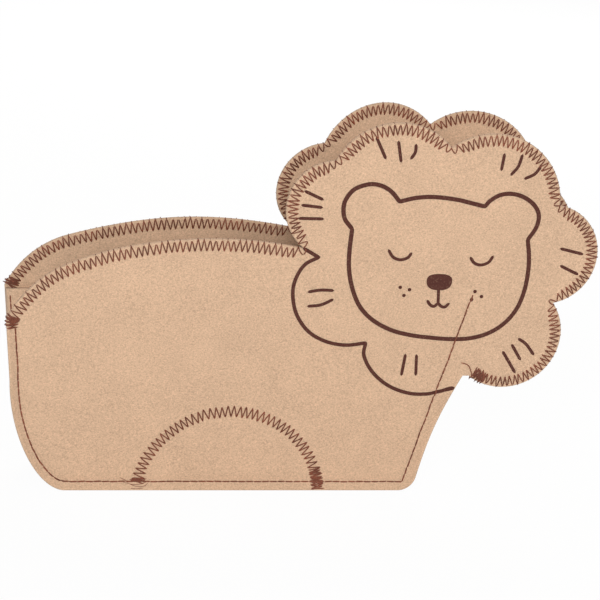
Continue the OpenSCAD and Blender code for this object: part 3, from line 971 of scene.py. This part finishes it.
def sew(thread_name, node, seed, stitch):
    """One piece of stitches on each panel, made by stitch from the side and its own random numbers."""
    settings = bpy.context.scene.puppet_thread
    thread = material_once("spun_polyester_thread", thread_material, tuple(settings.colour))
    for side, name in SIDE_NAMES.items():
        rng = np.random.default_rng(settings.seed + seed + side)
        obj = make_piece(f"{name}_{thread_name}", stitch(side, rng), thread)
        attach(obj, name)
        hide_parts(f"{name}_{node}")


class PUPPET_OT_felt_panels(bpy.types.Operator):
    """Make the two felt panels of the lion's outline"""
    bl_idname = "puppet.felt_panels"
    bl_label = "Felt Panels"

    def execute(self, context):
        settings = context.scene.puppet_felt
        felt = settings.thickness / MM
        wool = material_once("pressed_wool_felt", felt_material, tuple(settings.colour))
        for side, name in SIDE_NAMES.items():
            obj = make_piece(f"{name}_felt_panel", [panel_patch(side, felt)], wool)
            close_mesh(obj)
            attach(obj, name)
            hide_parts(f"{name}_panel")
        return {"FINISHED"}


class PUPPET_OT_gusset(bpy.types.Operator):
    """Make the folded felt gusset, half of it for each panel"""
    bl_idname = "puppet.gusset"
    bl_label = "Gusset"

    def execute(self, context):
        settings = context.scene.puppet_felt
        felt = settings.thickness / MM
        # The gusset's material is the panels' felt made a little lighter, which is painted light, not a
        # different felt
        wool = material_once("pressed_wool_felt_gusset", felt_material, tuple(settings.gusset_painted_lighter_colour))
        for side, name in SIDE_NAMES.items():
            obj = make_piece(f"gusset_{name}_half", gusset_patches(side, felt), wool)
            close_mesh(obj)
            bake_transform(obj)
            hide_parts("gusset")
        return {"FINISHED"}


class PUPPET_OT_overcast(bpy.types.Operator):
    """Overcast the open edges of both panels with a zigzag"""
    bl_idname = "puppet.overcast"
    bl_label = "Overcast Edges"

    def execute(self, context):
        felt = context.scene.puppet_felt.thickness / MM
        thread = context.scene.puppet_thread.thickness / MM
        sew("overcast_thread", "overcast", seed=0,
            stitch=lambda side, rng: overcast_patches(side, felt, thread, rng))
        return {"FINISHED"}


class PUPPET_OT_arch_stitch(bpy.types.Operator):
    """Stitch the arch between the legs on both panels"""
    bl_idname = "puppet.arch_stitch"
    bl_label = "Arch Stitches"

    def execute(self, context):
        thread = context.scene.puppet_thread.thickness / MM
        sew("arch_thread", "arch_stitch", seed=10,
            stitch=lambda side, rng: arch_patches(side, thread, rng))
        return {"FINISHED"}


class PUPPET_OT_seam_stitch(bpy.types.Operator):
    """Stitch both panels to the gusset"""
    bl_idname = "puppet.seam_stitch"
    bl_label = "Seam Stitches"

    def execute(self, context):
        felt = context.scene.puppet_felt.thickness / MM
        thread = context.scene.puppet_thread.seam_thickness / MM
        sew("seam_thread", "seam_stitch", seed=20,
            stitch=lambda side, rng: seam_patches(side, felt, thread, rng))
        return {"FINISHED"}


class PUPPET_OT_print(bpy.types.Operator):
    """Print the face, the mane's lower lobes and the hairs on the front panel"""
    bl_idname = "puppet.print"
    bl_label = "Print"

    def execute(self, context):
        ink = material_once("screen_printed_ink", ink_material, tuple(context.scene.puppet_ink.colour),
                            tuple(context.scene.puppet_felt.colour))
        obj = make_piece("face_print", print_patches(), ink)
        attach(obj, "front")
        return {"FINISHED"}


def camera_axes(azimuth, elevation, roll):
    """Right, up and backward directions of a camera that looks along +Y at azimuth 0, then rolls."""
    look = Vector((-math.sin(azimuth) * math.cos(elevation), math.cos(azimuth) * math.cos(elevation),
                   -math.sin(elevation)))
    right = Vector((math.cos(azimuth), math.sin(azimuth), 0.0))
    up = right.cross(look)
    return (right * math.cos(roll) + up * math.sin(roll), up * math.cos(roll) - right * math.sin(roll), -look)


# Half the width of the floor in metres, and the strength of the world's even light
FLOOR_REACH = 6.0
AMBIENT = 0.24
# Each soft box: its name, its place and its width in metres, and its power in watts. All face one point
LAMPS = (("key_soft_box", (-0.3, -1.1, 0.66), 0.6, 10.7),
         ("fill_soft_box", (0.7, -0.8, 0.7), 0.9, 3.0),
         ("back_soft_box", (0.3, 1.1, 0.66), 0.6, 9.0))
LAMP_TARGET = (0, 0, 0.08)
SENSOR_W = 36.0


def soft_box(name, place, size, power):
    """A square area lamp that faces the puppet."""
    lamp = bpy.data.lights.new(name, "AREA")
    lamp.shape, lamp.size, lamp.energy = "SQUARE", size, power
    obj = bpy.data.objects.new(name, lamp)
    obj.location = place
    obj.rotation_euler = (Vector(LAMP_TARGET) - Vector(place)).to_track_quat("-Z", "Y").to_euler()
    bpy.context.collection.objects.link(obj)


class PUPPET_OT_stage(bpy.types.Operator):
    """Set up the floor, the light and the photograph's camera"""
    bl_idname = "puppet.stage"
    bl_label = "Stage"

    def execute(self, context):
        stage = context.scene.puppet_stage
        mesh = bpy.data.meshes.new("floor")
        corners = [(x * FLOOR_REACH, y * FLOOR_REACH, 0) for x, y in ((-1, -1), (1, -1), (1, 1), (-1, 1))]
        mesh.from_pydata(corners, [], [(0, 1, 2, 3)])
        floor = bpy.data.objects.new("floor", mesh)
        mesh.materials.append(floor_material("white_paper", tuple(stage.floor_colour)))
        context.collection.objects.link(floor)

        world = bpy.data.worlds.new("studio")
        world.use_nodes = True
        tree = world.node_tree
        tree.nodes.clear()
        ray = add_node(tree, "ShaderNodeLightPath")
        seen = add_node(tree, "ShaderNodeMath", {0: ray.outputs["Is Camera Ray"],
                                                 1: ray.outputs["Is Glossy Ray"]}, operation="MAXIMUM")
        strength = add_node(tree, "ShaderNodeMath", {0: seen.outputs[0], 1: 1 - AMBIENT, 2: AMBIENT},
                            operation="MULTIPLY_ADD")
        sky = add_node(tree, "ShaderNodeBackground", {"Color": WHITE, "Strength": strength.outputs[0]})
        add_node(tree, "ShaderNodeOutputWorld", {"Surface": sky.outputs["Background"]})
        context.scene.world = world

        for lamp in LAMPS:
            soft_box(*lamp)

        camera = bpy.data.cameras.new("camera")
        camera.sensor_fit, camera.sensor_width, camera.lens = "HORIZONTAL", SENSOR_W, stage.lens
        obj = bpy.data.objects.new("camera", camera)
        right, up, backward = camera_axes(stage.azimuth, stage.elevation, stage.roll)
        place = Vector(stage.target) + backward * stage.distance
        obj.matrix_world = Matrix.Translation(place) @ Matrix((right, up, backward)).transposed().to_4x4()
        context.collection.objects.link(obj)
        context.scene.camera = obj
        context.scene.view_settings.view_transform = "Standard"
        return {"FINISHED"}


STEPS = (PUPPET_OT_felt_panels, PUPPET_OT_gusset, PUPPET_OT_overcast, PUPPET_OT_arch_stitch,
         PUPPET_OT_seam_stitch, PUPPET_OT_print, PUPPET_OT_stage)
SETTINGS = {"puppet_felt": PuppetFelt, "puppet_thread": PuppetThread, "puppet_ink": PuppetInk,
            "puppet_stage": PuppetStage}


class PUPPET_PT_sidebar(bpy.types.Panel):
    """Settings and steps of the hand puppet"""
    bl_label = "Felt Hand Puppet"
    bl_idname = "PUPPET_PT_sidebar"
    bl_space_type = "VIEW_3D"
    bl_region_type = "UI"
    bl_category = "Puppet"

    def draw(self, context):
        for name, group in SETTINGS.items():
            box = self.layout.box()
            box.label(text=group.__doc__)
            for setting in group.__annotations__:
                box.prop(getattr(context.scene, name), setting)
        for step in STEPS:
            self.layout.operator(step.bl_idname)


def register():
    """Registers the settings, the operators and the panel."""
    for cls in (*SETTINGS.values(), *STEPS, PUPPET_PT_sidebar):
        bpy.utils.register_class(cls)
    for name, group in SETTINGS.items():
        setattr(bpy.types.Scene, name, bpy.props.PointerProperty(type=group))


def unregister():
    """Undoes what register does."""
    for name in SETTINGS:
        delattr(bpy.types.Scene, name)
    for cls in reversed((*SETTINGS.values(), *STEPS, PUPPET_PT_sidebar)):
        bpy.utils.unregister_class(cls)


def main():
    """Registers the add-on and makes every piece."""
    register()
    for step in STEPS:
        group, name = step.bl_idname.split(".")
        getattr(getattr(bpy.ops, group), name)()


if __name__ == "__main__":
    main()
